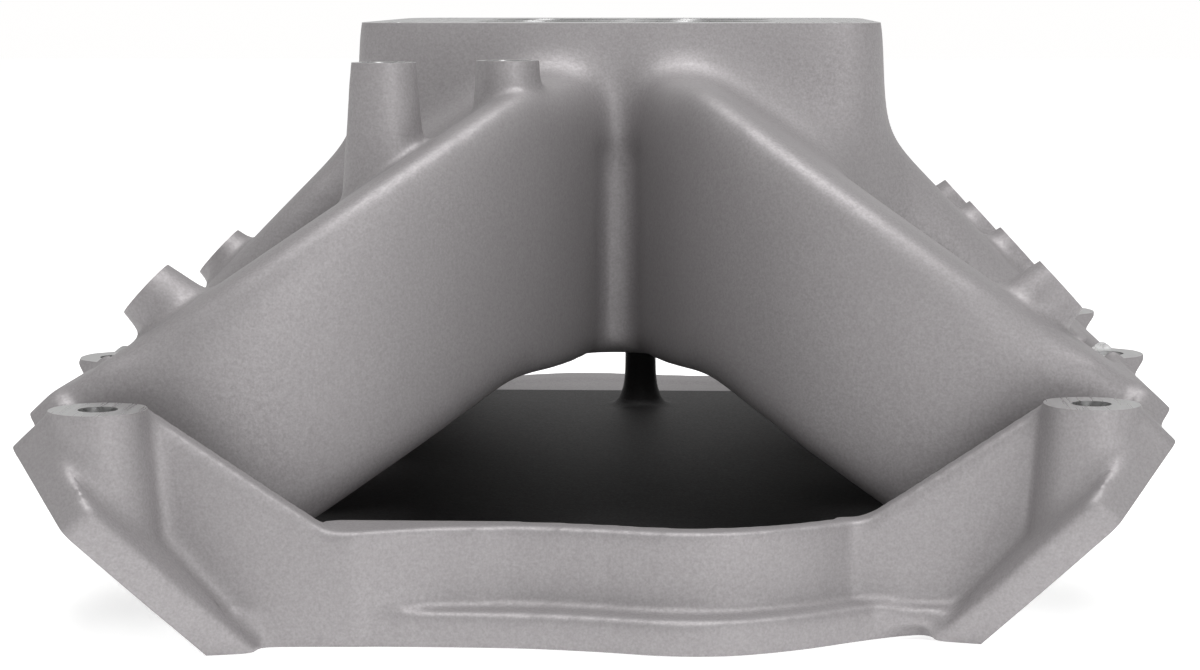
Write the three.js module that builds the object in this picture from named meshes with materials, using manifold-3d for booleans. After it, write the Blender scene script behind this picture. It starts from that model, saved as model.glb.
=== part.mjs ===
// A single-plane V8 intake manifold: a sand-cast aluminium plenum that feeds eight runners, two gasket
// flanges at the bank angle, a valley floor closed by two end rails, and the bosses cast on to them.
//
// Millimetres, +Z up, +Y towards the front of the engine, +X towards the right-hand bank as seen in -Y view.
// The origin is the centre of the footprint, on the plane that the two end rails stand on.
import * as THREE from "three";
import { mergeVertices } from "three/addons/utils/BufferGeometryUtils.js";
import Module from "manifold-3d";

const wasm = await Module();
wasm.setup();

// ---- Driving dimensions -------------------------------------------------------------------------
const GAP = 0.3; // clearance between sections that meet face to face
const BORE_SPACING = 111.3; // cylinder to cylinder along one bank
const BANK_OFFSET = 10.5; // each bank is shifted by this much along Y, the left one backwards
const HEIGHT = 155; // base plane to carburettor pad
const WALL = 5; // cast wall of the runners

const PAD = { width: 158, length: 170, corner: 13, thickness: 12 }; // four-barrel carburettor pad
const CARB = { boltX: 131, boltY: 142.9, boltRadius: 4, boreX: 47.6, boreY: 54, boreRadius: 22.5 };
const PLENUM = { floorZ: 57, floorThickness: 6, wall: 6 };

const END_ROOF = { atCentre: 157, slope: 0.68, top: 140 }; // outer roof plane of the four corner runners
const SIDE_ROOF = { atCentre: 204.4, slope: 1.03, top: 132 }; // and of the four between them
const BELLY = { atCentre: 74.5, slope: 0.64, top: 57 }; // outer underside plane of every runner

const FACE_START = 97; // X of the gasket face where it meets the base plane
const FACE_ANGLE = 0.819; // its slope from the horizontal, in radians
const FLANGE = { thickness: 9.5, height: 76, endHeight: 71, halfLength: 224 };
const PORT = { width: 44, low: 16.5, high: 70.5, corner: 8 };

const POST = { radius: 12, x: 124.6, y: 219.5, top: 60.7, draft: 0.08 }; // tall corner bolt posts
// Bolt bosses between the ports, each on a lobe of the flange's top edge.
const BOSS = { radius: 10.5, x: 142.5, top: 60, seat: 3, lobe: 13, lobeHeight: 81 };
const BOLT_RADIUS = 5;

const INJECTOR = { x: 122, z: 85.5, angle: 0.829, radius: 8.2, baseRadius: 11, length: 18 };
const VACUUM = [
  { name: "outer", x: -62, y: -147, bottom: 96 },
  { name: "inner", x: -29.5, y: -125, bottom: 100 },
];
const VACUUM_BOSS = { top: 145, radius: 9, baseRadius: 10.4, hole: 6.2, depth: 20 };
const PLUG = { radius: 5.8, length: 9, recess: 1.5, socket: 3.2, socketDepth: 5 };

const FLOOR = { bottom: 3, top: 8, halfWidth: 87, halfLength: 205 };
const RAIL = { lipTop: 9, wallTop: 29.5, wallThickness: 9, wallInset: 9, back: 18 };
const WEB_THICKNESS = 9;
const WEB_INNER = 68; // |X| where the corner webs meet the rear rail's wall
const RIB = { radius: 5, y: 88.5, top: 136 }; // column in the crotch of each pair of corner runners
const SUPPORT = { y: 150, radius: 6.2, flare: 11 };

const LEFT = -1;
const RIGHT = 1;
const ROUND = 24; // sides of a round boss

// ---- From three.js geometry to solids and back --------------------------------------------------
function solid(geometry) {
  const bare = geometry.clone();
  bare.deleteAttribute("normal");
  bare.deleteAttribute("uv");
  const merged = mergeVertices(bare, 1e-4);
  return new wasm.Manifold(
    new wasm.Mesh({
      numProp: 3,
      vertProperties: new Float32Array(merged.attributes.position.array),
      triVerts: new Uint32Array(merged.index.array),
    }),
  );
}

function geometryOf(body) {
  const mesh = body.getMesh();
  return new THREE.BufferGeometry()
    .setAttribute("position", new THREE.BufferAttribute(new Float32Array(mesh.vertProperties), 3))
    .setIndex(new THREE.BufferAttribute(new Uint32Array(mesh.triVerts), 1));
}

const join = (bodies) => bodies.reduce((all, next) => all.add(next));
const cut = (body, tools) => tools.reduce((rest, tool) => rest.subtract(tool), body);

// ---- Basic solids -------------------------------------------------------------------------------
// An outline in plan, [[x, y], ...], carried up from z0 to z1.
function prism(outline, z0, z1) {
  const shape = new THREE.Shape(outline.map(([x, y]) => new THREE.Vector2(x, y)));
  const geometry = new THREE.ExtrudeGeometry(shape, { depth: z1 - z0, bevelEnabled: false });
  return solid(geometry.translate(0, 0, z0));
}

// A profile seen along Y, [[x, z], ...], carried from y0 to y1.
function beam(profile, y0, y1) {
  const shape = new THREE.Shape(profile.map(([x, z]) => new THREE.Vector2(x, z)));
  const geometry = new THREE.ExtrudeGeometry(shape, { depth: y1 - y0, bevelEnabled: false });
  return solid(geometry.rotateX(Math.PI / 2).translate(0, y1, 0));
}

function upright(x, y, z0, z1, radius, topRadius = radius, sides = ROUND) {
  const geometry = new THREE.CylinderGeometry(topRadius, radius, z1 - z0, sides);
  return solid(geometry.rotateX(Math.PI / 2).translate(x, y, (z0 + z1) / 2));
}

function roundedRectangle(width, length, corner, steps = 5) {
  const points = [];
  const centres = [[1, 1], [-1, 1], [-1, -1], [1, -1]];
  centres.forEach(([sx, sy], quarter) => {
    for (let i = 0; i <= steps; i++) {
      const turn = ((quarter + i / steps) * Math.PI) / 2;
      points.push([
        sx * (width / 2 - corner) + corner * Math.cos(turn),
        sy * (length / 2 - corner) + corner * Math.sin(turn),
      ]);
    }
  });
  return points;
}

// ---- The gasket face, a plane that leans outwards -----------------------------------------------
const UP_FACE = [Math.cos(FACE_ANGLE), Math.sin(FACE_ANGLE)]; // (x, z) along the face, upwards
const INTO_FLANGE = [-Math.sin(FACE_ANGLE), Math.cos(FACE_ANGLE)]; // (x, z) from the face into the metal

// (x, z) of a point v up the face and depth into the metal, on the right-hand bank.
const onFace = (v, depth = 0) => [
  FACE_START + v * UP_FACE[0] + depth * INTO_FLANGE[0],
  v * UP_FACE[1] + depth * INTO_FLANGE[1],
];

// An outline on the face, [[u along Y, v up the face], ...], carried into the metal from depth d0 to d1.
function onFlange(side, outline, d0, d1) {
  const shape = new THREE.Shape(outline.map(([u, v]) => new THREE.Vector2(u, v)));
  const geometry = new THREE.ExtrudeGeometry(shape, { depth: d1 - d0, bevelEnabled: false });
  const placed = new THREE.Matrix4().makeBasis(
    new THREE.Vector3(0, 1, 0),
    new THREE.Vector3(UP_FACE[0], 0, UP_FACE[1]),
    new THREE.Vector3(-INTO_FLANGE[0], 0, -INTO_FLANGE[1]),
  );
  placed.setPosition(FACE_START, 0, 0);
  const body = solid(geometry.translate(0, 0, -d1).applyMatrix4(placed));
  const banked = side === RIGHT ? body : body.mirror([1, 0, 0]);
  return banked.translate([0, side * BANK_OFFSET, 0]);
}

// ---- Runners ------------------------------------------------------------------------------------
const portY = (side, port) => side * BANK_OFFSET + (port - 1.5) * BORE_SPACING;
const isCorner = (port) => port === 0 || port === 3;

// Plan route of each runner, as the four control points of a Bezier that is then carried straight out to
// the flange. Runners 0 and 3 leave the end walls of the plenum, 1 and 2 leave its sides.
function route(side, port) {
  const end = portY(side, port);
  const away = Math.sign(port - 1.5);
  if (isCorner(port)) {
    const reach = Math.abs(end) - PAD.length / 2;
    return {
      points: [
        [side * 35.5, away * (PAD.length / 2 - 9)],
        [side * 35.5, away * (PAD.length / 2 + reach * 0.49)],
        [side * 79, end],
        [side * 112, end],
      ],
      widths: [61, 54],
    };
  }
  return {
    points: [
      [side * 30, away * 37],
      [side * 76, away * 37],
      [side * 86, end],
      [side * 112, end],
    ],
    widths: [66, 54],
  };
}

function runnerPlan(side, port, inset) {
  const { points, widths } = route(side, port);
  const [a, b, c, d] = points.map(([x, y]) => new THREE.Vector2(x, y));
  const curve = new THREE.CubicBezierCurve(a, b, c, d);
  const steps = 9;
  const one = [];
  const other = [];
  for (let i = 0; i <= steps; i++) {
    const t = i / steps;
    const at = curve.getPoint(t);
    const along = curve.getTangent(t);
    const half = THREE.MathUtils.lerp(widths[0], widths[1], t) / 2 - inset;
    one.push([at.x - along.y * half, at.y + along.x * half]);
    other.unshift([at.x + along.y * half, at.y - along.x * half]);
  }
  const half = widths[1] / 2 - inset;
  const far = side * 175;
  one.push([far, d.y + side * half]);
  other.unshift([far, d.y - side * half]);
  return [...one, ...other];
}

// The leaning slab that every runner is cut from: roof above, belly below, ending at the flange.
function runnerSlab(side, port, inset, endDepth) {
  const over = isCorner(port) ? END_ROOF : SIDE_ROOF;
  const drop = inset / Math.cos(Math.atan(over.slope));
  const rise = inset / Math.cos(Math.atan(BELLY.slope));
  const roof = (x) => Math.min(over.top - inset, over.atCentre - drop - over.slope * x);
  const belly = (x) => Math.min(BELLY.top + inset, BELLY.atCentre + rise - BELLY.slope * x);
  // Where a line z = c - m x meets the plane that lies endDepth inside the gasket face.
  const meet = (c, m) => {
    const [x0, z0] = onFace(0, endDepth);
    const face = UP_FACE[1] / UP_FACE[0];
    return (c - z0 + face * x0) / (face + m);
  };
  const roofEnd = meet(over.atCentre - drop, over.slope);
  const bellyEnd = meet(BELLY.atCentre + rise, BELLY.slope);
  const roofKnee = (over.atCentre - drop - over.top + inset) / over.slope;
  const bellyKnee = (BELLY.atCentre + rise - BELLY.top - inset) / BELLY.slope;
  const profile = [
    [0, belly(0)],
    [bellyKnee, belly(bellyKnee)],
    [bellyEnd, belly(bellyEnd)],
    [roofEnd, roof(roofEnd)],
    [roofKnee, roof(roofKnee)],
    [0, roof(0)],
  ];
  const slab = beam(profile, -300, 300);
  return side === RIGHT ? slab : slab.mirror([1, 0, 0]);
}

function plan(side, port, inset) {
  const outline = runnerPlan(side, port, inset);
  const turnsLeft = THREE.ShapeUtils.area(outline.map(([x, y]) => new THREE.Vector2(x, y))) > 0;
  return prism(turnsLeft ? outline : outline.reverse(), -20, 200);
}

// The runner's whole outer form, from inside the plenum to the flange; grow widens it for clearance.
const runnerForm = (side, port, grow = 0) =>
  plan(side, port, -grow).intersect(runnerSlab(side, port, -grow, FLANGE.thickness + GAP));

const runnerDuct = (side, port) => plan(side, port, WALL).intersect(runnerSlab(side, port, WALL, -10));

// What is outside the plenum, which is where a runner's own casting starts.
function outsidePlenum(side, port) {
  if (!isCorner(port)) {
    const x0 = PAD.width / 2 + GAP;
    const span = side === RIGHT ? [x0, 200] : [-200, -x0];
    return beam([[span[0], -20], [span[1], -20], [span[1], 200], [span[0], 200]], -300, 300);
  }
  const y0 = PAD.length / 2 + GAP;
  const span = port === 3 ? [y0, 300] : [-300, -y0];
  return beam([[-200, -20], [200, -20], [200, 200], [-200, 200]], ...span);
}

const runner = (side, port) =>
  runnerForm(side, port).intersect(outsidePlenum(side, port)).subtract(runnerDuct(side, port));

// ---- Plenum and carburettor pad -----------------------------------------------------------------
// The chamber's box, with the roots of all eight runners running down out of it.
function plenumForm() {
  const outline = prism(roundedRectangle(PAD.width, PAD.length, PAD.corner), 0, HEIGHT - PAD.thickness - GAP);
  const chamber = outline.intersect(prism(roundedRectangle(400, 400, 5), PLENUM.floorZ, HEIGHT));
  const roots = everyPort().map(([side, port]) => runnerForm(side, port).intersect(outline));
  const ribs = [-1, 1].map((end) => upright(0, end * RIB.y, PLENUM.floorZ, RIB.top, RIB.radius));
  return join([chamber, ...roots, ...ribs]);
}

function plenum() {
  const { wall, floorZ, floorThickness } = PLENUM;
  const room = prism(
    roundedRectangle(PAD.width - 2 * wall, PAD.length - 2 * wall, PAD.corner - wall),
    floorZ + floorThickness,
    HEIGHT,
  );
  const ducts = everyPort().map(([side, port]) => runnerDuct(side, port));
  return cut(plenumForm(), [room, ...ducts]);
}

function carburettorPad() {
  const plate = prism(roundedRectangle(PAD.width, PAD.length, PAD.corner), HEIGHT - PAD.thickness, HEIGHT);
  const holes = [];
  for (const sx of [-1, 1]) {
    for (const sy of [-1, 1]) {
      const bolt = [(sx * CARB.boltX) / 2, (sy * CARB.boltY) / 2];
      const bore = [(sx * CARB.boreX) / 2, (sy * CARB.boreY) / 2];
      holes.push(upright(...bolt, HEIGHT - 30, HEIGHT + 5, CARB.boltRadius, CARB.boltRadius, 12));
      holes.push(upright(...bore, HEIGHT - 30, HEIGHT + 5, CARB.boreRadius, CARB.boreRadius, 28));
    }
  }
  return cut(plate, holes);
}

// ---- Gasket flanges -----------------------------------------------------------------------------
// One bank's outline in its own plane: pointed lobes round the corner posts, round ones at the bolts between.
function flangeOutline(grow = 0) {
  const { halfLength, height, endHeight } = FLANGE;
  const end = [
    [halfLength, 0],
    [halfLength + 11, 20],
    [halfLength + 20, 46],
    [halfLength + 12, 56],
    [halfLength, endHeight],
    [halfLength - 27, endHeight],
    [halfLength - 32, height],
  ];
  const lobe = (u) => [
    [u + BOSS.lobe, height],
    [u + BOSS.lobe * 0.6, BOSS.lobeHeight],
    [u - BOSS.lobe * 0.6, BOSS.lobeHeight],
    [u - BOSS.lobe, height],
  ];
  const top = [BORE_SPACING, 0, -BORE_SPACING].flatMap(lobe);
  const mirrored = end.map(([u, v]) => [-u, v]).reverse();
  const outline = [...end, ...top, ...mirrored];
  const middle = height / 2;
  return outline.map(([u, v]) => [u + Math.sign(u) * grow, v + Math.sign(v - middle) * grow]);
}

const boltPlaces = (side) => [
  ...[-1, 1].map((end) => [side * POST.x, side * BANK_OFFSET + end * POST.y]),
  ...[-1, 0, 1].map((n) => [side * BOSS.x, side * BANK_OFFSET + n * BORE_SPACING]),
];

const boltHoles = (side) =>
  boltPlaces(side).map(([x, y]) => upright(x, y, -20, 120, BOLT_RADIUS, BOLT_RADIUS, 12));

const flangeForm = (side, grow = 0) => onFlange(side, flangeOutline(grow), -grow, FLANGE.thickness + grow);

function headFlange(side) {
  const ports = [0, 1, 2, 3].map((port) => {
    const opening = roundedRectangle(PORT.width, PORT.high - PORT.low, PORT.corner, 3).map(([u, v]) => [
      u + (port - 1.5) * BORE_SPACING,
      v + (PORT.low + PORT.high) / 2,
    ]);
    return onFlange(side, opening, -5, FLANGE.thickness + 5);
  });
  const seat = aboveFlange(side, BOSS.seat - GAP);
  const pockets = [-1, 0, 1].map((n) => bossBarrel(side, n, GAP).intersect(seat));
  return cut(flangeForm(side), [...ports, ...pockets, ...boltHoles(side), baseTrim()]);
}

// Everything below the base plane, which the machining takes off.
const baseTrim = () => prism([[-200, -300], [200, -300], [200, 300], [-200, 300]], -60, 0);

// ---- Bolt posts and bosses ----------------------------------------------------------------------
const aboveFlange = (side, depth = FLANGE.thickness) => {
  const outline = [[-400, -60], [400, -60], [400, 200], [-400, 200]];
  return onFlange(side, outline, depth + GAP, 200);
};

// Everything beyond the flange's top edge at its ends.
const pastFlange = (side) => {
  const height = FLANGE.endHeight;
  return onFlange(side, [[-400, height], [400, height], [400, 200], [-400, 200]], -50, 200);
};

function postBarrel(side, end, grow = 0) {
  const y = side * BANK_OFFSET + end * POST.y;
  const top = POST.top + 10 * grow;
  const foot = POST.radius + POST.draft * (top + 10);
  return upright(side * POST.x, y, -10, top, foot + grow, POST.radius + grow);
}

// A corner post with the short fin that runs out from it to the flange's outer corner.
function boltPost(side, end) {
  const fin = webBlade(side, end, [
    [POST.x, POST.top - 14],
    [150, POST.top - 14],
    [150, FLANGE.endHeight * UP_FACE[1] + 6],
    [POST.x, POST.top - 1],
  ]);
  return cut(postBarrel(side, end).add(fin).intersect(aboveFlange(side)), [...boltHoles(side), pastFlange(side)]);
}

const bossBarrel = (side, n, grow = 0) => {
  const y = side * BANK_OFFSET + n * BORE_SPACING;
  return upright(side * BOSS.x, y, -10, BOSS.top + 10 * grow, BOSS.radius + grow);
};

// A bolt boss sits in a pocket of the flange, seated a little above the gasket face.
function boltBoss(side, n) {
  return cut(bossBarrel(side, n).intersect(aboveFlange(side, BOSS.seat)), boltHoles(side));
}

// ---- Injector and vacuum bosses -----------------------------------------------------------------
function injectorBoss(side, port) {
  const { x, z, angle, radius, baseRadius, length } = INJECTOR;
  const geometry = new THREE.CylinderGeometry(radius, baseRadius, length, ROUND);
  geometry.translate(0, -length / 2, 0).rotateX(Math.PI / 2).rotateY(side * (Math.PI / 2 - angle));
  const boss = solid(geometry.translate(side * x, portY(side, port), z));
  return boss.subtract(runnerForm(side, port, GAP));
}

const vacuumForm = (boss, grow = 0) =>
  upright(
    boss.x,
    boss.y,
    boss.bottom - grow,
    VACUUM_BOSS.top + grow,
    VACUUM_BOSS.baseRadius + grow,
    VACUUM_BOSS.radius + grow,
  );

function vacuumDrilling(boss) {
  const { top, hole, depth } = VACUUM_BOSS;
  return upright(boss.x, boss.y, top - depth, top + 5, hole);
}

const vacuumBoss = (boss) => cut(vacuumForm(boss), [runnerForm(LEFT, 0, GAP), vacuumDrilling(boss)]);

function vacuumPlug(boss) {
  const top = VACUUM_BOSS.top - PLUG.recess;
  const body = upright(boss.x, boss.y, top - PLUG.length, top, PLUG.radius);
  const socket = upright(boss.x, boss.y, top - PLUG.socketDepth, top + 5, PLUG.socket, PLUG.socket, 6);
  return body.subtract(socket);
}

// ---- Valley floor, end rails and webs -----------------------------------------------------------
// Front edge of the rear rail's lip in plan: it swings out round the middle and back in at the right.
const RAIL_EDGE = [
  [-97, -235], [-87, -229], [-50, -226], [-20, -226.5], [0, -229.5], [18, -233.5],
  [34, -232.5], [51, -225], [66, -215], [78, -208], [88, -206.5], [97, -213],
];

function railCurve(offset) {
  const curve = new THREE.SplineCurve(RAIL_EDGE.map(([x, y]) => new THREE.Vector2(x, y + offset)));
  return curve.getPoints(28).map(({ x, y }) => [x, y]);
}

const webY = (side, end) => side * BANK_OFFSET + end * 217; // outer face of each corner web

// A strip between two copies of the rail's edge, y0 and y1 behind it.
function railStrip(y0, y1, z0, z1) {
  return prism([...railCurve(y0), ...railCurve(y1).reverse()], z0, z1);
}

const halfTurn = (body) => body.rotate([0, 0, 180]);

function railLip() {
  const lip = railStrip(0, RAIL.back, 0, RAIL.lipTop);
  const inside = beam([[-97, -1], [97, -1], [88.4, 12], [-88.4, 12]], -300, 0);
  return lip.intersect(inside);
}

function rearRail() {
  const { wallInset, wallThickness, lipTop, wallTop } = RAIL;
  const reach = WEB_INNER - GAP;
  const span = beam([[-reach, 0], [reach, 0], [reach, 60], [-reach, 60]], -300, 0);
  const wall = railStrip(wallInset, wallInset + wallThickness, lipTop - 1, wallTop).intersect(span);
  return cut(railLip().add(wall), [flangeForm(LEFT, GAP), flangeForm(RIGHT, GAP)]);
}

const frontRail = () => cut(halfTurn(railLip()), [flangeForm(LEFT, GAP), flangeForm(RIGHT, GAP)]);

// An upright blade, [[x, z], ...], of the end walls that stand between a rail and its corner posts.
function webBlade(side, end, profile) {
  const y = webY(side, end);
  const inwards = y - end * WEB_THICKNESS;
  const blade = beam(profile, Math.min(y, inwards), Math.max(y, inwards));
  return side === RIGHT ? blade : blade.mirror([1, 0, 0]);
}

function cornerWeb(side, end) {
  const web = webBlade(side, end, [
    [WEB_INNER, RAIL.lipTop + GAP],
    [POST.x, RAIL.lipTop + GAP],
    [POST.x, POST.top - 1],
    [POST.x - POST.radius, POST.top - 1.5],
    [WEB_INNER, end < 0 ? RAIL.wallTop : 16],
  ]);
  return cut(web.intersect(aboveFlange(side)), [postBarrel(side, end, GAP)]);
}

function valleyFloor() {
  const { bottom, top, halfWidth, halfLength } = FLOOR;
  const section = [[-halfWidth, bottom], [halfWidth, bottom], [halfWidth, top], [-halfWidth, top]];
  const plate = beam(section, -halfLength, halfLength);
  const railSpace = railStrip(-30, RAIL.back + GAP, 0, 20);
  return cut(plate, [railSpace, halfTurn(railSpace), flangeForm(LEFT, GAP), flangeForm(RIGHT, GAP)]);
}

// The post that ties the front runners' belly to the valley floor, waisted like an hourglass.
function valleySupport() {
  const { y, radius, flare } = SUPPORT;
  const z0 = FLOOR.top + GAP;
  const z1 = BELLY.top - GAP;
  const points = [new THREE.Vector2(0, z0)];
  const steps = 8;
  for (let i = 0; i <= steps; i++) {
    const t = i / steps;
    const spread = Math.pow(Math.abs(2 * t - 1), 5);
    points.push(new THREE.Vector2(radius + (flare - radius) * spread, THREE.MathUtils.lerp(z0, z1, t)));
  }
  points.push(new THREE.Vector2(0, z1));
  const geometry = new THREE.LatheGeometry(points, ROUND);
  return solid(geometry.rotateX(Math.PI / 2).translate(0, y, 0));
}

// ---- Materials ----------------------------------------------------------------------------------
const castAluminium = new THREE.MeshStandardMaterial({ color: 0xa8a5a4, roughness: 0.55, metalness: 0.9 });
const machinedAluminium = new THREE.MeshStandardMaterial({ color: 0xd6d6d8, roughness: 0.3, metalness: 1 });
const shadedCasting = new THREE.MeshStandardMaterial({ color: 0x2b2a2a, roughness: 0.4, metalness: 0.8 });
const platedSteel = new THREE.MeshStandardMaterial({ color: 0x77787a, roughness: 0.35, metalness: 1 });

// ---- The manifold -------------------------------------------------------------------------------
const manifold = new THREE.Group();

function place(name, body, material = castAluminium) {
  const mesh = new THREE.Mesh(geometryOf(body), material);
  mesh.name = name;
  manifold.add(mesh);
}

function everyPort() {
  return [LEFT, RIGHT].flatMap((side) => [0, 1, 2, 3].map((port) => [side, port]));
}

const sideName = (side) => (side === LEFT ? "left" : "right");
const endName = (end) => (end < 0 ? "rear" : "front");

place("carburettor_pad", carburettorPad(), machinedAluminium);
place("plenum_chamber", plenum());
for (const [side, port] of everyPort()) {
  const drillings = side === LEFT && port === 0 ? VACUUM.map(vacuumDrilling) : [];
  place(`runner_${sideName(side)}_${port + 1}`, cut(runner(side, port), drillings));
}
for (const [side, port] of everyPort()) {
  place(`injector_boss_${sideName(side)}_${port + 1}`, injectorBoss(side, port));
}
for (const side of [LEFT, RIGHT]) {
  place(`head_flange_${sideName(side)}`, headFlange(side));
  for (const end of [-1, 1]) {
    place(`bolt_post_${endName(end)}_${sideName(side)}`, boltPost(side, end));
    place(`corner_web_${endName(end)}_${sideName(side)}`, cornerWeb(side, end));
  }
  for (const n of [-1, 0, 1]) {
    place(`bolt_boss_${sideName(side)}_${n + 2}`, boltBoss(side, n));
  }
}
for (const boss of VACUUM) {
  place(`vacuum_boss_${boss.name}`, vacuumBoss(boss));
  place(`vacuum_plug_${boss.name}`, vacuumPlug(boss), platedSteel);
}
place("end_rail_rear", rearRail());
place("end_rail_front", frontRail());
place("valley_floor", valleyFloor(), shadedCasting);
place("valley_support", valleySupport(), shadedCasting);

export default manifold;
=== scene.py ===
# %% [markdown]
# # An intake manifold for a V8 engine
#
# The real thing is one sand casting in aluminium. The carburettor bolts to the square pad on top, the
# mixture falls into the plenum under it, and eight curved runners carry it down to the two cylinder
# heads. This script makes it the way the foundry and the machine shop do: a rough pattern, soft
# corners, sand cores for the hollows, and then flat faces and drilled holes cut with crisp edges.
#
# Everything is modelled in millimetres, as on the drawing, and each finished piece is turned into
# metres at the end. +Z is up, +Y points to the front of the engine.

import math
import bmesh
import bpy
import numpy as np
from mathutils import Matrix, Vector


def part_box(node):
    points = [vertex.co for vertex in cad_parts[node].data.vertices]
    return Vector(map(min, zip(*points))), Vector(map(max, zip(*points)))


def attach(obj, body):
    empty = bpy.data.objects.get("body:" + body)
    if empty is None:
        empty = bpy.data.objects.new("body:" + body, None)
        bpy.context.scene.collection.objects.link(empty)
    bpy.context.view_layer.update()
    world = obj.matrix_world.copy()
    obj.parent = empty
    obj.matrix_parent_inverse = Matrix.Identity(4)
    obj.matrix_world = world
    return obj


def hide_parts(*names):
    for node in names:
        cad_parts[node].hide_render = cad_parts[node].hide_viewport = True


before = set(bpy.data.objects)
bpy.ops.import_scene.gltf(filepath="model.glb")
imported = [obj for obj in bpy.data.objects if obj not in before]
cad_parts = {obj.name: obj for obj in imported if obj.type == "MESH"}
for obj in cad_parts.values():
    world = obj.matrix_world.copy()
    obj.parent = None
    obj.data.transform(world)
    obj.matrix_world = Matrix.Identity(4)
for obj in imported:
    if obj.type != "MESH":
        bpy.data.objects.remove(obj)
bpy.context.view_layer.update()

# %% [markdown]
# ## The drawing's numbers
#
# A V8 has two banks of four cylinders. The banks are shifted a little along the crankshaft, because two
# connecting rods share each crank pin, and the manifold follows that stagger.

# %% Driving dimensions in millimetres
MM = 0.001
BORE_SPACING = 111.3
BANK_OFFSET = 10.5
HEIGHT = 155.0
WALL = 5.0
PAD_WIDTH, PAD_LENGTH, PAD_CORNER, PAD_DEPTH = 158.0, 170.0, 13.0, 12.0
FACE_START, FACE_ANGLE, FLANGE_THICKNESS = 97.0, 0.819, 9.5
POST_X, POST_Y, POST_TOP, POST_RADIUS = 124.6, 219.5, 60.7, 12.0
BELLY_CENTRE, BELLY_SLOPE, BELLY_TOP = 74.5, 0.64, 57.0
LEFT, RIGHT = -1, 1
SIDES = (LEFT, RIGHT)
PORTS = (0, 1, 2, 3)


def side_name(side):
    return "left" if side == LEFT else "right"


def end_name(end):
    return "rear" if end < 0 else "front"


def port_y(side, port):
    return side * BANK_OFFSET + (port - 1.5) * BORE_SPACING


def is_corner(port):
    return port in (0, 3)


# %% [markdown]
# ## Finishes
#
# Shader maths reads best as ordinary sums, so a small class wraps a socket and turns +, - and * into
# Math nodes. Every other node comes from one method that sets its settings and then its inputs.


# %% Sums on sockets
class Level:
    """A value that varies over the surface."""

    def __init__(self, finish, socket):
        self.finish, self.socket = finish, socket

    def sum(self, operation, first, second):
        return self.finish.node("ShaderNodeMath", {"operation": operation}, {0: first, 1: second})

    def __add__(self, other):
        return self.sum("ADD", self, other)

    def __sub__(self, other):
        return self.sum("SUBTRACT", self, other)

    def __rsub__(self, other):
        return self.sum("SUBTRACT", other, self)

    def __mul__(self, other):
        return self.sum("MULTIPLY", self, other)

    __radd__, __rmul__ = __add__, __mul__


class Finish:
    """A material being wired up."""

    def __init__(self, name):
        self.material = bpy.data.materials.new(name)
        self.material.use_nodes = True
        self.tree = self.material.node_tree
        self.tree.nodes.clear()
        self.place = self.node("ShaderNodeTexCoord", output="Object")

    def node(self, kind, settings=None, values=None, output=0):
        made = self.tree.nodes.new(kind)
        for key, value in (settings or {}).items():
            setattr(made, key, value)
        for key, value in (values or {}).items():
            if isinstance(value, Level):
                self.tree.links.new(value.socket, made.inputs[key])
            else:
                made.inputs[key].default_value = value
        return Level(self, made.outputs[output]) if output is not None else None

    def grain(self, size_mm, detail=2.0, roughness=0.5, stretch=(1, 1, 1)):
        """Noise whose spots are about size_mm across, from 0 to 1."""
        place = self.node("ShaderNodeMapping", None, {"Vector": self.place, "Scale": stretch})
        values = {"Vector": place, "Scale": 1000.0 / size_mm, "Detail": detail, "Roughness": roughness}
        return self.node("ShaderNodeTexNoise", None, values)

    def spread(self, level, low, high, to_low=0.0, to_high=1.0):
        values = {"Value": level, "From Min": low, "From Max": high, "To Min": to_low, "To Max": to_high}
        return self.node("ShaderNodeMapRange", None, values)

    def blend(self, factor, colour_a, colour_b):
        return self.node("ShaderNodeMix", {"data_type": "RGBA"}, {0: factor, 6: colour_a, 7: colour_b}, 2)

    def bump(self, height, strength, distance_mm, normal=None):
        values = {"Height": height, "Strength": strength, "Distance": distance_mm * MM}
        if normal:
            values["Normal"] = normal
        return self.node("ShaderNodeBump", None, values)

    def surface(self, values):
        shader = self.node("ShaderNodeBsdfPrincipled", None, values)
        self.node("ShaderNodeOutputMaterial", None, {"Surface": shader}, output=None)


def grey(level, warm=0.0):
    """A grey with a hint of red in it, as bare aluminium has."""
    return (level * (1 + 2 * warm), level * (1 - 0.3 * warm), level * (1 + 0.6 * warm), 1.0)

# %% [markdown]
# ### Sand-cast aluminium
#
# Sand leaves a fine, even grain about a millimetre across, slightly darker in its pits, over a skin that
# is never quite flat. Real castings are washed and shot-blasted, so the grey is nearly even.
#
# Two choices here are for the look and are not measured. The metallic level is one half, though bare
# aluminium is fully metallic, because that keeps the corners between two runners from going too dark.
# The valley floor and its post get the same finish at a tenth of the level, which is painted shade: on the
# real part they are probably the same metal in deep shadow, which the soft studio light would fill.

# %% Cast and milled aluminium
def cast_aluminium(name, level, roughness):
    finish = Finish(name)
    sand = finish.grain(1.1, 3.0, 0.6)
    fine = finish.grain(0.6, 2.0, 0.5)
    patch = finish.grain(26.0, 3.0, 0.55)
    skin = finish.grain(5.0, 2.0, 0.5)
    speckle = finish.spread(sand * 0.5 + fine * 0.5, 0.36, 0.64)
    base = finish.blend(speckle, grey(level * 0.90, 0.024), grey(level * 1.09, 0.018))
    toned = finish.blend(finish.spread(patch, 0.3, 0.7, 0.0, 0.22), base, grey(level * 0.84, 0.02))
    relief = sand * 0.75 + fine * 0.25
    normal = finish.bump(relief, 0.45, 0.16, finish.bump(skin, 0.2, 0.35))
    matt = finish.spread(speckle, 0.0, 1.0, roughness + 0.06, roughness - 0.05)
    finish.surface({"Base Color": toned, "Metallic": 0.5, "Roughness": matt, "Normal": normal})
    return finish.material


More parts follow.
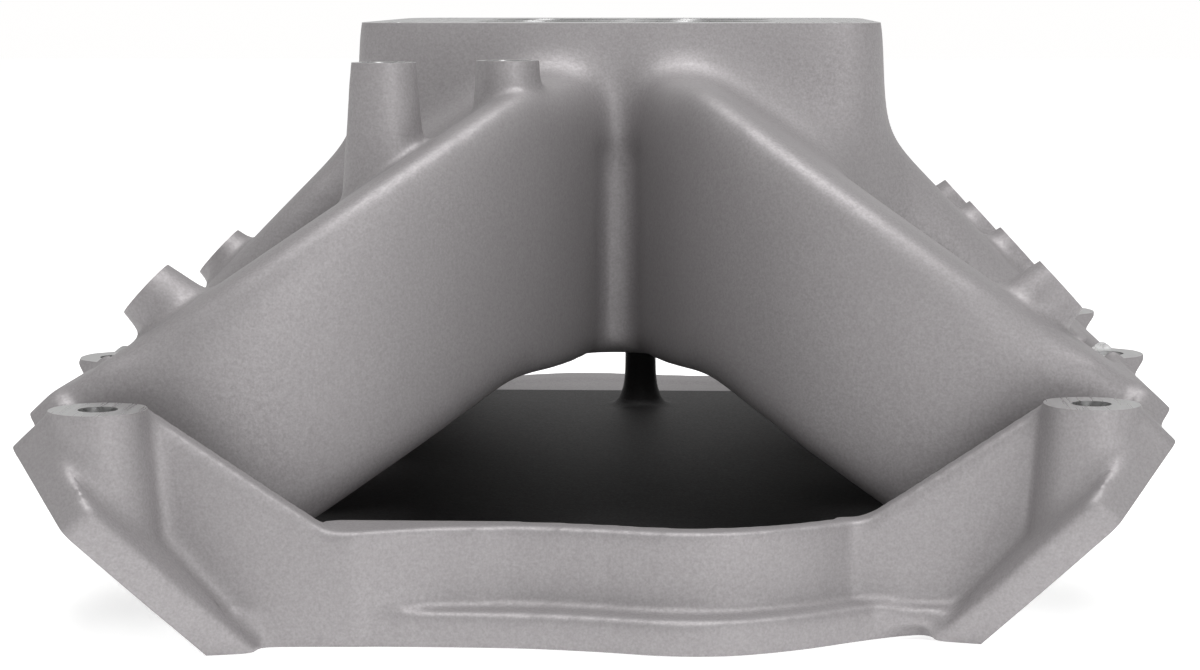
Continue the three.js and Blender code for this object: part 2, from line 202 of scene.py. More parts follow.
def milled_aluminium(name, level):
    finish = Finish(name)
    lines = finish.grain(1.6, 3.0, 0.7, (1, 0.04, 1))
    base = finish.blend(finish.spread(lines, 0.3, 0.7), grey(level * 0.93), grey(level * 1.05))
    normal = finish.bump(lines, 0.25, 0.05)
    matt = finish.spread(lines, 0.3, 0.7, 0.24, 0.36)
    finish.surface({"Base Color": base, "Metallic": 1.0, "Roughness": matt, "Normal": normal})
    return finish.material


cast = cast_aluminium("sand_cast_aluminium", 0.30, 0.54)
# A tenth of the level: painted shade for the valley floor and its post, which lie in deep shadow
painted_shade_cast = cast_aluminium("painted_shade_cast_aluminium", 0.03, 0.58)
milled = milled_aluminium("milled_aluminium", 0.72)
CAST, MILLED = 0, 1
print("finishes:", cast.name, milled.name)

# %% [markdown]
# ## Small tools for the pattern shop
#
# Nearly every shape on a casting pattern is a flat outline given thickness, so one helper extrudes an
# outline along a direction. The others cut, join and soften. The Manifold solver is the quickest of
# Blender's boolean solvers, and it is exact enough for closed shapes.


# %% Objects from a bmesh, and modifiers made real
def linked(name, mesh):
    thing = bpy.data.objects.new(name, mesh)
    bpy.context.scene.collection.objects.link(thing)
    return thing


def as_object(name, bm, tidy=True):
    """Every shape carries both finishes, so a cutter can leave its own on the metal."""
    if tidy:
        bmesh.ops.recalc_face_normals(bm, faces=bm.faces)
    mesh = bpy.data.meshes.new(name)
    bm.to_mesh(mesh)
    bm.free()
    for finish in (cast, milled):
        mesh.materials.append(finish)
    return linked(name, mesh)


def discard(thing):
    mesh = thing.data
    bpy.data.objects.remove(thing)
    bpy.data.meshes.remove(mesh)


def make_real(thing):
    graph = bpy.context.evaluated_depsgraph_get()
    mesh = bpy.data.meshes.new_from_object(thing.evaluated_get(graph))
    old = thing.data
    thing.modifiers.clear()
    thing.data = mesh
    bpy.data.meshes.remove(old)
    return thing


def boolean(thing, tool, operation="DIFFERENCE"):
    cut = thing.modifiers.new("boolean", "BOOLEAN")
    cut.object, cut.operation, cut.solver = tool, operation, "MANIFOLD"
    make_real(thing)
    discard(tool)
    return thing


def join(name, things):
    bm = bmesh.new()
    for thing in things:
        bm.from_mesh(thing.data)
        discard(thing)
    return as_object(name, bm, tidy=False)


def copy_of(thing, name):
    return linked(name, thing.data.copy())


def half_turn(thing, name):
    """The same shape turned half round the vertical axis: the casting's far end."""
    twin = copy_of(thing, name)
    twin.data.transform(Matrix.Rotation(math.pi, 4, "Z"))
    return twin


# %% Extruded outlines, cones and turned shapes
def extruded(name, ring, along):
    bm = bmesh.new()
    face = bm.faces.new([bm.verts.new(point) for point in ring])
    lifted = bmesh.ops.extrude_face_region(bm, geom=[face])["geom"]
    moved = [v for v in lifted if isinstance(v, bmesh.types.BMVert)]
    bmesh.ops.translate(bm, vec=Vector(along), verts=moved)
    return as_object(name, bm)


def prism(name, outline, z0, z1):
    return extruded(name, [(x, y, z0) for x, y in outline], (0, 0, z1 - z0))


def beam(name, profile, y0, y1):
    return extruded(name, [(x, y0, z) for x, z in profile], (0, y1 - y0, 0))


def cone(name, foot, top, foot_radius, top_radius, sides=48):
    """A round bar from foot to top, two points in millimetres."""
    foot, top = Vector(foot), Vector(top)
    bm = bmesh.new()
    bmesh.ops.create_cone(
        bm, cap_ends=True, segments=sides, radius1=foot_radius, radius2=top_radius, depth=(top - foot).length
    )
    turn = Vector((0, 0, 1)).rotation_difference(top - foot).to_matrix().to_4x4()
    bmesh.ops.transform(bm, matrix=Matrix.Translation((foot + top) / 2) @ turn, verts=bm.verts)
    return as_object(name, bm)


def rounded_rectangle(width, length, corner, steps=8):
    points = []
    for quarter, (sx, sy) in enumerate(((1, 1), (-1, 1), (-1, -1), (1, -1))):
        for i in range(steps + 1):
            turn = (quarter + i / steps) * math.pi / 2
            x = sx * (width / 2 - corner) + corner * math.cos(turn)
            y = sy * (length / 2 - corner) + corner * math.sin(turn)
            points.append((x, y))
    return points


# %% Remesh and soften
def remesh(thing, voxel):
    modifier = thing.modifiers.new("sand", "REMESH")
    modifier.mode, modifier.voxel_size, modifier.use_smooth_shade = "VOXEL", voxel, True
    return make_real(thing)


def soften(thing, rounds, weight=None):
    """Rounds every corner; weight(x, y, z) from 0 to 1 says where and how much."""
    modifier = thing.modifiers.new("soften", "SMOOTH")
    modifier.factor, modifier.iterations = 1.0, rounds
    if weight:
        group = thing.vertex_groups.new(name="soft")
        levels = {}
        for vertex in thing.data.vertices:
            levels.setdefault(round(weight(*vertex.co), 1), []).append(vertex.index)
        for level, members in levels.items():
            group.add(members, level, "REPLACE")
        modifier.vertex_group = "soft"
    make_real(thing)
    thing.vertex_groups.clear()
    return thing


# %% [markdown]
# ## Runners
#
# Seen from above, each runner follows a Bezier curve out of the plenum and then goes straight to the
# head. Seen from the end, all of them are cut from the same leaning slab: a roof plane and a belly
# plane that fall away from the middle. So a runner's blank is its plan carried upwards, kept only
# where it is inside the slab.


# %% Plan of one runner
def bezier(points, t):
    a, b, c, d = (Vector(p) for p in points)
    place = a * (1 - t) ** 3 + 3 * b * (1 - t) ** 2 * t + 3 * c * (1 - t) * t**2 + d * t**3
    along = 3 * (b - a) * (1 - t) ** 2 + 6 * (c - b) * (1 - t) * t + 3 * (d - c) * t**2
    return place, along.normalized()


def runner_plan(side, port, inset):
    end = port_y(side, port)
    away = 1 if port > 1 else -1
    if is_corner(port):
        reach = abs(end) - PAD_LENGTH / 2
        bend = away * (PAD_LENGTH / 2 + reach * 0.49)
        route = [(side * 35.5, away * 76), (side * 35.5, bend), (side * 79, end), (side * 112, end)]
        widths = (61, 54)
    else:
        route = [(side * 30, away * 37), (side * 76, away * 37), (side * 86, end), (side * 112, end)]
        widths = (66, 54)
    steps = 24
    one, other = [], []
    for i in range(steps + 1):
        t = i / steps
        place, along = bezier(route, t)
        half = (widths[0] + (widths[1] - widths[0]) * t) / 2 - inset
        one.append((place.x - along.y * half, place.y + along.x * half))
        other.append((place.x + along.y * half, place.y - along.x * half))
    half = widths[1] / 2 - inset
    one.append((side * 175, end + side * half))
    other.append((side * 175, end - side * half))
    return one + other[::-1]


# %% The leaning slab, and a runner's blank
UP_FACE = (math.cos(FACE_ANGLE), math.sin(FACE_ANGLE))
INTO_METAL = (-math.sin(FACE_ANGLE), math.cos(FACE_ANGLE))


def on_face(up, depth):
    """x and z of a point so far up the right-hand gasket face and so deep in the metal."""
    x = FACE_START + up * UP_FACE[0] + depth * INTO_METAL[0]
    return x, up * UP_FACE[1] + depth * INTO_METAL[1]


def runner_slab(side, port, inset, depth):
    centre, slope, top = (157.0, 0.68, 140.0) if is_corner(port) else (204.4, 1.03, 132.0)
    roof_line = centre - inset * math.hypot(1, slope)
    belly_line = BELLY_CENTRE + inset * math.hypot(1, BELLY_SLOPE)
    x0, z0 = on_face(0, depth)
    rise = UP_FACE[1] / UP_FACE[0]
    roof_end = (roof_line - z0 + rise * x0) / (rise + slope)
    belly_end = (belly_line - z0 + rise * x0) / (rise + BELLY_SLOPE)
    belly_knee = (belly_line - BELLY_TOP - inset) / BELLY_SLOPE
    roof_knee = (roof_line - top + inset) / slope
    profile = [
        (0, BELLY_TOP + inset),
        (belly_knee, BELLY_TOP + inset),
        (belly_end, belly_line - BELLY_SLOPE * belly_end),
        (roof_end, roof_line - slope * roof_end),
        (roof_knee, top - inset),
        (0, top - inset),
    ]
    return beam("slab", [(side * x, z) for x, z in profile], -300, 300)


def runner_blank(side, port, inset=0.0, depth=4.0):
    blank = prism(f"runner_{side_name(side)}_{port + 1}", runner_plan(side, port, inset), -20, 200)
    return boolean(blank, runner_slab(side, port, inset, depth), "INTERSECT")


# %% [markdown]
# ## The air side of the pattern
#
# The plenum block and the eight runners are cast with generous radii, because air and molten metal both
# dislike corners. They are joined, remeshed into one skin, and softened for a long time. The block
# widens slightly downwards: that is the draft which lets the pattern leave the sand.


# %% Plenum block and runners, with large fillets
def plenum_block():
    bm = bmesh.new()
    low = rounded_rectangle(PAD_WIDTH + 6.5, PAD_LENGTH + 6.5, PAD_CORNER)
    high = rounded_rectangle(PAD_WIDTH - 0.8, PAD_LENGTH - 0.8, PAD_CORNER - 2)
    face = bm.faces.new([bm.verts.new((x, y, BELLY_TOP)) for x, y in low])
    lifted = bmesh.ops.extrude_face_region(bm, geom=[face])["geom"]
    raised = [v for v in lifted if isinstance(v, bmesh.types.BMVert)]
    for vertex, (x, y) in zip(sorted(raised, key=lambda v: v.index), high):
        vertex.co = (x, y, HEIGHT + 12)
    return as_object("plenum_block", bm)


air_side = join("air_side", [plenum_block(), *(runner_blank(s, p) for s in SIDES for p in PORTS)])
remesh(air_side, 2.0)


def roundness(x, y, z):
    """Large radii over the roofs, smaller ones in the crotch between two runners and underneath."""
    if abs(x) < 20 and abs(y) > 84 and z < 118:
        return 0.1
    return 0.9 if z > 70 else 0.2


soften(air_side, 110, roundness)
print("air side:", len(air_side.data.polygons), "faces")

# %% [markdown]
# ## Gasket flanges
#
# Each bank has one long plate that leans outwards at 47 degrees. Its outline is drawn in its own plane:
# pointed ends round the corner bolts, and a lobe at each bolt between two ports. It gets 3 mm of
# machining allowance on the gasket side, which the milling cutter takes off later.

# %% Flange plates
ALLOWANCE = 3.0
FLANGE_END = ((224, 0), (235, 20), (244, 46), (236, 56), (224, 71), (197, 71), (192, 76))
LOBE = ((13, 76), (7.8, 81), (-7.8, 81), (-13, 76))


def on_flange(name, side, outline, depth0, depth1):
    """An outline of (u along Y, v up the face), carried into the metal between two depths."""
    x0, z0 = on_face(0, depth0)
    ring = [
        (side * (x0 + v * UP_FACE[0]), u + side * BANK_OFFSET, z0 + v * UP_FACE[1]) for u, v in outline
    ]
    thick = depth1 - depth0
    return extruded(name, ring, (side * thick * INTO_METAL[0], 0, thick * INTO_METAL[1]))


def flange_outline():
    lobes = [(u + du, v) for u in (BORE_SPACING, 0, -BORE_SPACING) for du, v in LOBE]
    return [*FLANGE_END, *lobes, *((-u, v) for u, v in FLANGE_END[::-1])]


def drafted(outline, base=0.0):
    """The same outline carried below the base plane, so that milling can square it."""
    return [(u, v - 8 if v <= base else v) for u, v in outline]


flanges = [
    on_flange(f"flange_{side_name(side)}", side, drafted(flange_outline()), -ALLOWANCE, FLANGE_THICKNESS)
    for side in SIDES
]

# %% [markdown]
# ## Corner posts and their webs
#
# A long bolt comes down through each corner, so a drafted post stands there. A thin web ties it to the
# end rail, and a short fin to the flange's outer corner.

# %% Posts, fins and webs
WEB_THICKNESS = 9.0
WEB_INNER = 68.0
RAIL_TOP = 29.5


def post(side, end):
    y = side * BANK_OFFSET + end * POST_Y
    top = POST_TOP + ALLOWANCE
    x = side * POST_X
    return cone("post", (x, y, -12), (x, y, top), POST_RADIUS + 0.08 * (top + 12), POST_RADIUS)


def blade(side, end, profile, outer=217.0, thick=WEB_THICKNESS):
    y = side * BANK_OFFSET + end * outer
    return beam("blade", [(side * x, z) for x, z in profile], y, y - end * thick)


def corner_web(side, end):
    low_top = RAIL_TOP if end < 0 else 15.0
    profile = [(WEB_INNER - 8, 2), (112, 2), (POST_X, POST_TOP - 2), (POST_X - 11, POST_TOP - 1)]
    profile += [(WEB_INNER, low_top), (WEB_INNER - 8, low_top)]
    return blade(side, end, profile)


def corner_fin(side, end):
    corner = on_face(71, 0.5)
    shoulder = (corner[0] - 7, corner[1] + 6.5)
    profile = [(POST_X - 4, 22), (118, 20), corner, shoulder, (POST_X + 4, POST_TOP - 1)]
    return blade(side, end, profile, outer=226.0, thick=14.0)


def web_wedge():
    """Leads the rear left web's face gently back to the rail's wall."""
    return prism("wedge", [(-62, -227.5), (-62, -212), (-24, -212), (-24, -217.7), (-42, -220)], 2, RAIL_TOP)


corners = [(side, end) for side in SIDES for end in (-1, 1)]
posts = [post(side, end) for side, end in corners]
webs = [web_wedge(), *(make(side, end) for side, end in corners for make in (corner_web, corner_fin))]

# %% [markdown]
# ## Bosses
#
# Wherever a bolt, an injector or a pipe goes in, the casting has a small round pad of extra metal.
# Every boss is cast a little too tall, and its top is milled flat once it is cold.

# %% Bolt, injector and vacuum bosses
INJECTOR_LEAN = 0.829
VACUUM = (("outer", -62.0, -147.0, 100.0), ("inner", -29.7, -124.0, 84.0))
VACUUM_TOP = 145.0


def bolt_boss(side, n):
    y = side * BANK_OFFSET + n * BORE_SPACING
    return cone("bolt_boss", (side * 142.5, y, 30), (side * 142.5, y, 60 + ALLOWANCE), 13.0, 10.2)


def injector_axis(side, port):
    """The middle of an injector boss's face, and the way it points."""
    middle = Vector((side * 122.6, port_y(side, port), 85.6))
    return middle, Vector((side * math.sin(INJECTOR_LEAN), 0, math.cos(INJECTOR_LEAN)))


def injector_boss(side, port):
    middle, out = injector_axis(side, port)
    return cone("injector_boss", middle - out * 20, middle + out * ALLOWANCE, 12.0, 8.4)


def vacuum_boss(x, y, foot):
    return cone("vacuum_boss", (x, y, foot), (x, y, VACUUM_TOP + ALLOWANCE), 12.4, 8.9)


bosses = [bolt_boss(side, n) for side in SIDES for n in (-1, 0, 1)]
bosses += [injector_boss(side, port) for side in SIDES for port in PORTS]
bosses += [vacuum_boss(x, y, foot) for _, x, y, foot in VACUUM]

# %% [markdown]
# ## End rails and the valley floor
#
# The two ends sit on the engine block with a rubber seal. The rear one has a wall that stands up from a
# wavy lip, the front one is only the lip. A thin floor between them keeps hot oil off the plenum.

# %% Rails, floor and the support post
RAIL_EDGE = (
    (-104, -237), (-97, -235), (-87, -229), (-75, -227), (-50, -226), (-20, -226.5), (0, -229.5),
    (18, -233.5), (34, -232.5), (51, -225), (66, -215), (78, -208), (88, -206.5), (97, -213), (104, -218),
)


def spline(points, steps=6):
    """A smooth line through the points, the way a thin wooden batten bends round nails."""
    line = []
    for i in range(len(points) - 1):
        a, b, c, d = (Vector(points[min(max(i + k, 0), len(points) - 1)]) for k in (-1, 0, 1, 2))
        for j in range(steps):
            t = j / steps
            curve = 2 * b + (c - a) * t + (2 * a - 5 * b + 4 * c - d) * t * t
            line.append(tuple((curve + (3 * b - a - 3 * c + d) * t**3) / 2))
    return [*line, points[-1]]


def rail_strip(name, front, back, z0, z1, x0=-104.0, x1=104.0):
    edge = [(x, y) for x, y in spline(RAIL_EDGE) if x0 <= x <= x1]
    ring = [(x, y + front) for x, y in edge] + [(x, y + back) for x, y in edge[::-1]]
    return prism(name, ring, z0, z1)


rails = [rail_strip("rear_lip", 0, 20, -ALLOWANCE, 9), rail_strip("rear_wall", 9, 18, 2, RAIL_TOP, -72, 76)]
rails.append(half_turn(rails[0], "front_lip"))
floor_plate = beam("floor", [(-92, 3), (92, 3), (92, 8), (-92, 8)], -212, 212)


def support_post():
    """Waisted like an hourglass: a profile spun round the post's axis."""
    bm = bmesh.new()
    profile = []
    for i in range(13):
        t = i / 12
        radius = 6.0 + 6.5 * abs(2 * t - 1) ** 5
        profile.append(bm.verts.new((radius, 150, 5 + t * (BELLY_TOP - 2))))
    foot, head = bm.verts.new((0, 150, 5)), bm.verts.new((0, 150, BELLY_TOP + 3))
    line = [foot, *profile, head]
    edges = [bm.edges.new(pair) for pair in zip(line, line[1:])]
    bmesh.ops.spin(
        bm, geom=line + edges, cent=(0, 150, 0), axis=(0, 0, 1), angle=2 * math.pi, steps=40, use_merge=True
    )
    bmesh.ops.remove_doubles(bm, verts=bm.verts, dist=0.01)
    return as_object("support_post", bm)


# %% [markdown]
# ## One skin
#
# Everything is joined and remeshed again, much finer, and softened only a little, so the new corners
# get the small fillets of a pattern-maker's wax.

# %% Join, remesh, soften
details = [*flanges, *posts, *webs, *bosses, *rails, floor_plate, support_post()]
casting = join("casting", [air_side, *details])
remesh(casting, 1.4)

soften(casting, 6)
print("casting:", len(casting.data.polygons), "faces")

# %% [markdown]
# ## Milling and drilling
#
# Now the casting goes to the machine shop. Every milled face is a block taken away, which leaves the
# crisp edge a cutter leaves, and every hole is a round bar taken away. One boolean takes a whole set
# of tools at once, as long as the tools don't touch each other.


# %% Milled faces
def block_above(z, x, y, reach):
    outline = rounded_rectangle(2 * reach, 2 * reach, 1, 1)
    return prism("cutter", [(x + px, y + py) for px, py in outline], z, z + 60)


def machine(tools):
    cutter = join("cutters", tools)
    for polygon in cutter.data.polygons:
        polygon.material_index = MILLED
    boolean(casting, cutter)


def bolt_places(side):
    for end in (-1, 1):
        yield side * POST_X, side * BANK_OFFSET + end * POST_Y, POST_TOP, 13.5
    for n in (-1, 0, 1):
        yield side * 142.5, side * BANK_OFFSET + n * BORE_SPACING, 60.0, 12.0


bolts = [place for side in SIDES for place in bolt_places(side)]
injectors = [injector_axis(side, port) for side in SIDES for port in PORTS]
base = prism("cutter", [(-200, -300), (200, -300), (200, 300), (-200, 300)], -60, 0)
cutters = [base, block_above(HEIGHT, 0, 0, 100)]
cutters += [block_above(top, x, y, reach) for x, y, top, reach in bolts]
cutters += [cone("cutter", middle, middle + out * 12, 14, 14) for middle, out in injectors]
cutters += [block_above(VACUUM_TOP, x, y, 11) for _, x, y, _ in VACUUM]
machine(cutters)
whole_bank = [(-300, -40), (300, -40), (300, 140), (-300, 140)]
machine([on_flange("cutter", side, whole_bank, -60, 0) for side in SIDES])

# %% Cores: the plenum's room and the eight ducts
room = prism("room", rounded_rectangle(PAD_WIDTH - 12, PAD_LENGTH - 12, 8), BELLY_TOP + 6, HEIGHT - PAD_DEPTH)
core = join("core", [room, *(runner_blank(s, p, WALL, 3.0) for s in SIDES for p in PORTS)])
remesh(core, 2.2)
soften(core, 5)
boolean(casting, core)

# %% Ports and drilled holes
PORT = [(u, v + 43.5) for u, v in rounded_rectangle(44, 54, 8)]
tools = []
for side in SIDES:
    for port in PORTS:
        outline = [(u + (port - 1.5) * BORE_SPACING, v) for u, v in PORT]
        tools.append(on_flange("cutter", side, outline, -5, FLANGE_THICKNESS + 4))
for sx in (-1, 1):
    for sy in (-1, 1):
        x, y = sx * 23.8, sy * 27
        tools.append(cone("drill", (x, y, 120), (x, y, 170), 22.5, 22.5, 96))
        x, y = sx * 65.5, sy * 71.45
        tools.append(cone("drill", (x, y, 130), (x, y, 170), 4, 4))
tools += [cone("drill", (x, y, -20), (x, y, 90), 5, 5) for x, y, _, _ in bolts]
tools += [cone("drill", middle - out * 4, middle + out * 5, 4.4, 4.4) for middle, out in injectors]
tools += [cone("drill", (x, y, VACUUM_TOP - 20), (x, y, VACUUM_TOP + 5), 6.2, 6.2) for _, x, y, _ in VACUUM]
machine(tools)
print("machined casting:", len(casting.data.polygons), "faces")

# %% [markdown]
# ## Sections
#
# The casting is one piece of metal, but a part in a library is handier when the plenum, each runner and
# each flange can be picked on its own. So it is sawn apart last of all, with a blade so thin that the
# kerf can't be seen. Every kerf is a thin sheet, all the sheets are one tool, and the casting then falls
# into loose parts. Both sides of a kerf then move to its middle, so that no line shows, and each part
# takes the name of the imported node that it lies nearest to.

# %% The saw's kerfs
KERF = 0.04
SAW_X, SAW_Y = 88.0, 95.0
FLOOR_TOP, RAIL_REAR = 11.0, 186.0
CORNER_X, PAD_SAW_Z, SUPPORT_SAW_Z = 70.0, 144.0, 10.5
RUNNER_CLEARANCE = 29.0  # from a runner's middle to just past its wall


def sheet(x0, x1, y0, y1, z0, z1):
    return prism("kerf", [(x0, y0), (x1, y0), (x1, y1), (x0, y1)], z0, z1)


def comb():
    """Cuts the runners and corners from a flange, but leaves its three middle bolt bosses on."""
    high, low = 140.0, 45.0
    half = [(300, -40), (300, high), (131, high), (131, low), (92, low), (92, high), (20, high), (20, low)]
    return half + [(-u, v) for u, v in half[::-1]]


kerfs = [sheet(-SAW_X, SAW_X, end * SAW_Y, end * SAW_Y + KERF, FLOOR_TOP, 200) for end in (-1, 1)]
kerfs += [sheet(side * SAW_X, side * SAW_X + KERF, -SAW_Y, SAW_Y, FLOOR_TOP, 200) for side in SIDES]
kerfs.append(sheet(-85, 85, -90, 90, PAD_SAW_Z, PAD_SAW_Z + KERF))
kerfs += [on_flange("kerf", side, comb(), FLANGE_THICKNESS, FLANGE_THICKNESS + KERF) for side in SIDES]
kerfs += [sheet(-100, 100, end * RAIL_REAR, end * RAIL_REAR + KERF, -5, FLOOR_TOP) for end in (-1, 1)]
kerfs.append(sheet(-20, 20, 130, 170, SUPPORT_SAW_Z, SUPPORT_SAW_Z + KERF))
for side, end in corners:
    x = side * CORNER_X
    clear = abs(port_y(side, 0 if end < 0 else 3)) + RUNNER_CLEARANCE
    for start, z0, z1 in ((RAIL_REAR, -5, FLOOR_TOP), (clear, FLOOR_TOP - 1, 70)):
        kerfs.append(sheet(x, x + KERF, *sorted((end * start, end * 260)), z0, z1))
saw = kerfs[0]
for kerf in kerfs[1:]:
    boolean(saw, kerf, "UNION")
boolean(casting, saw)
print("kerfs:", len(kerfs))


# %% Close the kerfs again
def middle_planes():
    """A normal and a distance for the middle of every kerf."""
    half = KERF / 2
    for end in (-1, 1):
        yield (0, 1, 0), end * SAW_Y + half
        yield (0, 1, 0), end * RAIL_REAR + half
    for side in SIDES:
        yield (1, 0, 0), side * SAW_X + half
        yield (1, 0, 0), side * CORNER_X + half
        normal = (side * INTO_METAL[0], 0, INTO_METAL[1])
        x, z = on_face(0, FLANGE_THICKNESS + half)
        yield normal, side * x * normal[0] + z * normal[2]
    yield (0, 0, 1), PAD_SAW_Z + half
    yield (0, 0, 1), SUPPORT_SAW_Z + half


def close_kerfs(mesh):
    """Both sides of a kerf move to its middle, so the sections touch and no line shows."""
    places = np.empty(len(mesh.vertices) * 3)
    mesh.vertices.foreach_get("co", places)
    places = places.reshape(-1, 3)
    for normal, distance in middle_planes():
        off = places @ np.array(normal) - distance
        near = np.abs(off) < KERF
        places[near] -= np.outer(off[near], normal)
    mesh.vertices.foreach_set("co", places.ravel())


close_kerfs(casting.data)
print("kerfs closed:", len(list(middle_planes())), "planes")


# %% Loose parts, named after the nodes they stand for
def node_centre(node):
    low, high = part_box(node)
    return (Vector(low) + Vector(high)) / 2


FEWEST_VERTICES = 300  # anything smaller is a crumb, not a section


def part_numbers(mesh):
    """The same number for every vertex of a loose part: the lowest number spreads along the edges."""
    ends = np.empty(len(mesh.edges) * 2, dtype=np.int32)
    mesh.edges.foreach_get("vertices", ends)
    one, other = ends[0::2], ends[1::2]
    number = np.arange(len(mesh.vertices))
    while True:
        lower = np.minimum(number[one], number[other])
        spread = number.copy()
        np.minimum.at(spread, number[one], lower)
        np.minimum.at(spread, number[other], lower)
        spread = spread[spread]
        if (spread == number).all():
            return number
        number = spread


def loose_parts(thing):
    """A Mask modifier shows one loose part at a time, and each view of it becomes a piece."""
    numbers = part_numbers(thing.data)
    mask = thing.modifiers.new("mask", "MASK")
    for number in np.unique(numbers):
        members = np.flatnonzero(numbers == number)
        if len(members) > FEWEST_VERTICES:
            group = thing.vertex_groups.new(name="part")
            group.add(members.tolist(), 1.0, "REPLACE")
            mask.vertex_group = group.name
            graph = bpy.context.evaluated_depsgraph_get()
            part = linked("part", bpy.data.meshes.new_from_object(thing.evaluated_get(graph)))
            part.vertex_groups.clear()
            yield part
    discard(thing)


STANDS_FOR = {"carburettor_pad": ["carburettor_pad"], "plenum_chamber": ["plenum_chamber"]}
for side in SIDES:
    hand = side_name(side)
    for port in PORTS:
        place = f"{hand}_{port + 1}"
        STANDS_FOR[f"runner_{place}"] = [f"runner_{place}", f"injector_boss_{place}"]
    flange_bosses = [f"bolt_boss_{hand}_{n}" for n in (1, 2, 3)]
    STANDS_FOR[f"head_flange_{hand}"] = [f"head_flange_{hand}", *flange_bosses]
for side, end in corners:
    place = f"{end_name(end)}_{side_name(side)}"
    STANDS_FOR[f"corner_{place}"] = [f"corner_web_{place}", f"bolt_post_{place}"]
STANDS_FOR["runner_left_1"] += ["vacuum_boss_outer", "vacuum_boss_inner"]
for name in ("end_rail_rear", "end_rail_front", "valley_floor", "valley_support"):
    STANDS_FOR[name] = [name]

casting.data.transform(Matrix.Scale(MM, 4))
homes = {name: node_centre(nodes[0]) for name, nodes in STANDS_FOR.items()}
for part in loose_parts(casting):
    lowest, highest = Vector(part.bound_box[0]), Vector(part.bound_box[6])
    centre = (lowest + highest) / 2
    name = min(homes, key=lambda home: (homes[home] - centre).length)
    print("part", name, len(part.data.polygons), "faces, mm", [round(v * 1000) for v in part.dimensions])
    part.name = name + "_casting"
    # The valley floor and its post get painted shade: a far darker cast finish where the real part lies in
    # deep shadow
    if name.startswith("valley"):
        part.data.materials[CAST] = painted_shade_cast
    part.data.shade_smooth()
    part.data.set_sharp_from_angle(angle=math.radians(38))
    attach(part, "root")
    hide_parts(*STANDS_FOR[name])

# %% [markdown]
# ## Vacuum plugs
#
# Each drilled vacuum boss is taken to be closed by a small plated-steel plug, turned and broached for a
# six-sided key. It is a disc cut by a hexagonal bar, with its outer edge broken by a small bevel.


# %% Two plugs with hexagon sockets
def plated_steel(name, level):
    finish = Finish(name)
    rings = finish.grain(1.2, 3.0, 0.6)
    stain = finish.grain(4.0, 2.0, 0.5)
    tone = finish.spread(rings * 0.6 + stain * 0.4, 0.3, 0.7)
    base = finish.blend(tone, grey(level * 0.9, 0.03), grey(level * 1.1))
    matt = finish.spread(stain, 0.3, 0.7, 0.28, 0.42)
    normal = finish.bump(rings, 0.2, 0.05)
    finish.surface({"Base Color": base, "Metallic": 1.0, "Roughness": matt, "Normal": normal})
    return finish.material


plating = plated_steel("zinc_plated_steel", 0.5)
PLUG_RADIUS, PLUG_RECESS, PLUG_LENGTH, SOCKET_RADIUS, SOCKET_DEPTH = 5.8, 1.5, 9.0, 3.2, 5.0


def vacuum_plug(name, x, y):
    top = VACUUM_TOP - PLUG_RECESS
    plug = cone(name, (x, y, top - PLUG_LENGTH), (x, y, top), PLUG_RADIUS, PLUG_RADIUS, 64)
    boolean(plug, cone("key", (x, y, top - SOCKET_DEPTH), (x, y, top + 5), SOCKET_RADIUS, SOCKET_RADIUS, 6))
    edge = plug.modifiers.new("broken_edge", "BEVEL")
    edge.width, edge.segments, edge.limit_method, edge.angle_limit = 0.35, 2, "ANGLE", math.radians(40)
    make_real(plug)
    plug.data.transform(Matrix.Scale(MM, 4))
    plug.data.shade_smooth()
    plug.data.set_sharp_from_angle(angle=math.radians(30))
    plug.data.materials.clear()
    plug.data.materials.append(plating)
    for polygon in plug.data.polygons:
        polygon.material_index = 0
    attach(plug, "root")
    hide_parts(name)
    return plug


for place, x, y, _ in VACUUM:
    plug = vacuum_plug(f"vacuum_plug_{place}", x, y)
    plug.name = f"plug_{place}"
    print(plug.name, len(plug.data.polygons), "faces")

# %% [markdown]
# ## Studio
#
# A pale floor and pale surroundings, with one big soft light overhead and a weaker one from the side. The
# surroundings are pure white to look at but light the metal less than that, and the floor glows a
# little, so the backdrop stays white while the grey of the casting keeps its shape.

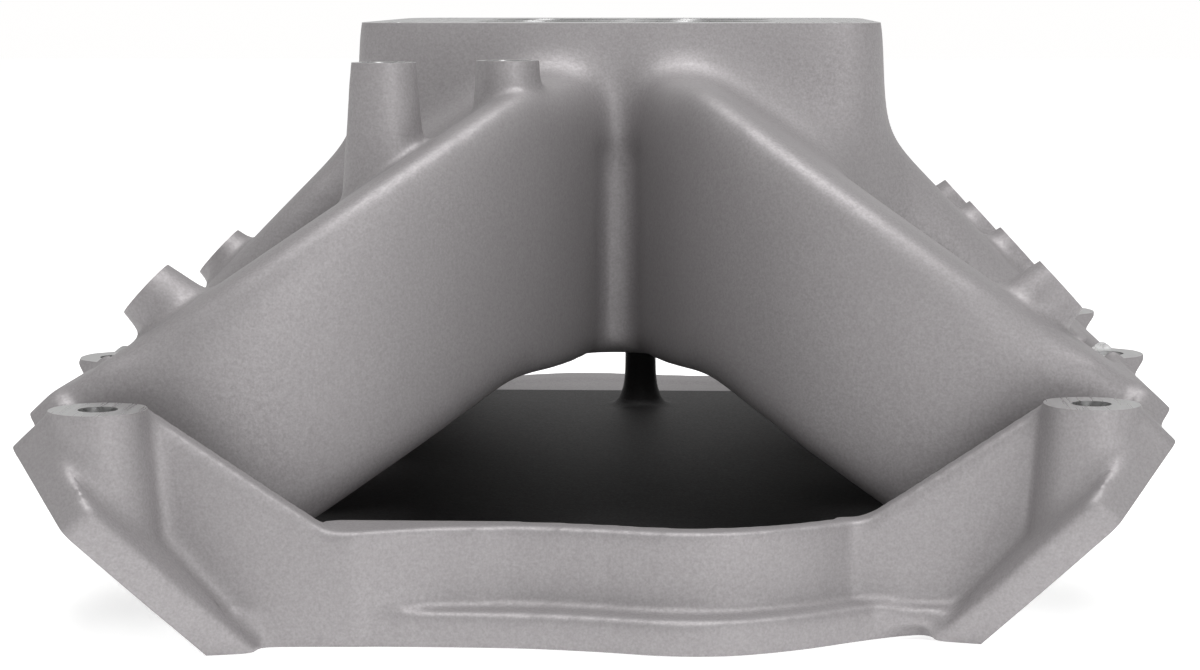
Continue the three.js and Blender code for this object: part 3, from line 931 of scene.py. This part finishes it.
# %% Floor, lights and camera
floor_mesh = bpy.data.meshes.new("studio_floor")
bm = bmesh.new()
bmesh.ops.create_grid(bm, x_segments=1, y_segments=1, size=6)
bm.to_mesh(floor_mesh)
bm.free()
floor = bpy.data.objects.new("studio_floor", floor_mesh)
floor.location.z = -0.0004
bpy.context.scene.collection.objects.link(floor)
pale = bpy.data.materials.new("pale_floor")
pale.use_nodes = True
paint = pale.node_tree.nodes["Principled BSDF"].inputs
paint["Base Color"].default_value = (0.93, 0.93, 0.93, 1)
paint["Roughness"].default_value = 0.9
paint["Emission Color"].default_value = (1, 1, 1, 1)
paint["Emission Strength"].default_value = 0.52
floor_mesh.materials.append(pale)

world = bpy.data.worlds.new("studio")
world.use_nodes = True
SKY, ROOM = 1.0, 0.52
backdrop = world.node_tree.nodes["Background"]
backdrop.inputs["Color"].default_value = (1.0, 0.995, 0.99, 1)
seen = world.node_tree.nodes.new("ShaderNodeLightPath")
level = world.node_tree.nodes.new("ShaderNodeMapRange")
level.inputs["To Min"].default_value, level.inputs["To Max"].default_value = ROOM, SKY
world.node_tree.links.new(seen.outputs["Is Camera Ray"], level.inputs["Value"])
world.node_tree.links.new(level.outputs["Result"], backdrop.inputs["Strength"])
bpy.context.scene.world = world


def soft_light(name, place, target, size, watts):
    light = bpy.data.lights.new(name, "AREA")
    light.shape, light.size, light.size_y, light.energy = "RECTANGLE", size[0], size[1], watts
    lamp = bpy.data.objects.new(name, light)
    lamp.location = place
    lamp.rotation_euler = (Vector(target) - Vector(place)).to_track_quat("-Z", "Y").to_euler()
    bpy.context.scene.collection.objects.link(lamp)


soft_light("overhead", (0.1, -0.25, 1.5), (0, -0.05, 0.1), (1.2, 1.0), 17)
soft_light("side", (0.9, -1.7, 0.6), (0, -0.1, 0.08), (0.8, 0.8), 7)

camera = bpy.data.cameras.new("camera")
camera.lens, camera.sensor_width = 85.8, 36
eye = bpy.data.objects.new("camera", camera)
eye.location = (0.0310, -0.9306, 0.1646)
eye.rotation_euler = (math.radians(90 - 6.872), 0, math.radians(2.461))
bpy.context.scene.collection.objects.link(eye)
bpy.context.scene.camera = eye
bpy.context.scene.view_settings.view_transform = "Standard"
